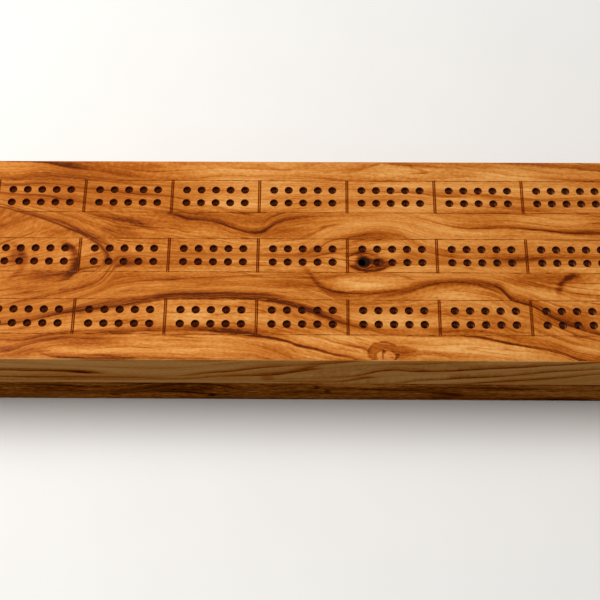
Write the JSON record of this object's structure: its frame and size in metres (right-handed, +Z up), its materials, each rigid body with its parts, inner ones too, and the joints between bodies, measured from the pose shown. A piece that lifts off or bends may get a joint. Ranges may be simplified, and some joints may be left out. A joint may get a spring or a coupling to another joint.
{
  "type": "cribbage box with drawer",
  "caption": "Long olive-wood cribbage block with a drilled three-street track on top and a dovetailed drawer for cards and pegs sliding out of one end.",
  "frame": {"origin": "middle of the outer size, drawer knob included, at the underside that the box stands on", "axes": "+X along the length towards the drawer's knob, +Y towards the back long side, -Y the front long side, +Z up through the playing face"},
  "size_m": [0.392, 0.0952, 0.0444],
  "materials": {
    "olive_wood_top": "oiled olive wood, strongly figured, satin",
    "olive_wood_base": "oiled olive wood, darker heartwood, satin",
    "olive_wood_front": "oiled olive wood, satin",
    "drawer_wood": "pale beech, sanded and waxed",
    "panel_wood": "thin birch plywood, sanded",
    "brass": "turned and lightly polished",
    "peg_steel": "turned and lightly polished",
    "screw_steel": "zinc-plated",
    "magnet_plating": "nickel-plated"
  },
  "bodies": {
    "case": {"playing_board": "olive_wood_top", "front_rail": "olive_wood_base", "back_rail": "olive_wood_base", "end_block": "olive_wood_base", "case_bottom_panel": "panel_wood", "case_magnet": "magnet_plating"},
    "drawer": {"drawer_front": "olive_wood_front", "drawer_front_side": "drawer_wood", "drawer_rear_side": "drawer_wood", "drawer_back": "drawer_wood", "drawer_bottom_panel": "panel_wood", "drawer_divider_1": "drawer_wood", "drawer_divider_2": "drawer_wood", "drawer_divider_3": "drawer_wood", "peg_tray": "olive_wood_front", "brass_peg_1": "brass", "brass_peg_2": "brass", "brass_peg_3": "brass", "steel_peg_1": "peg_steel", "steel_peg_2": "peg_steel", "steel_peg_3": "peg_steel", "drawer_knob": "brass", "knob_screw": "screw_steel", "drawer_magnet": "magnet_plating"}
  },
  "joints": [
    {"name": "drawer_slide", "type": "slide", "parent": "case", "child": "drawer", "axis": [1, 0, 0], "range_m": [0, 0.28]}
  ]
}
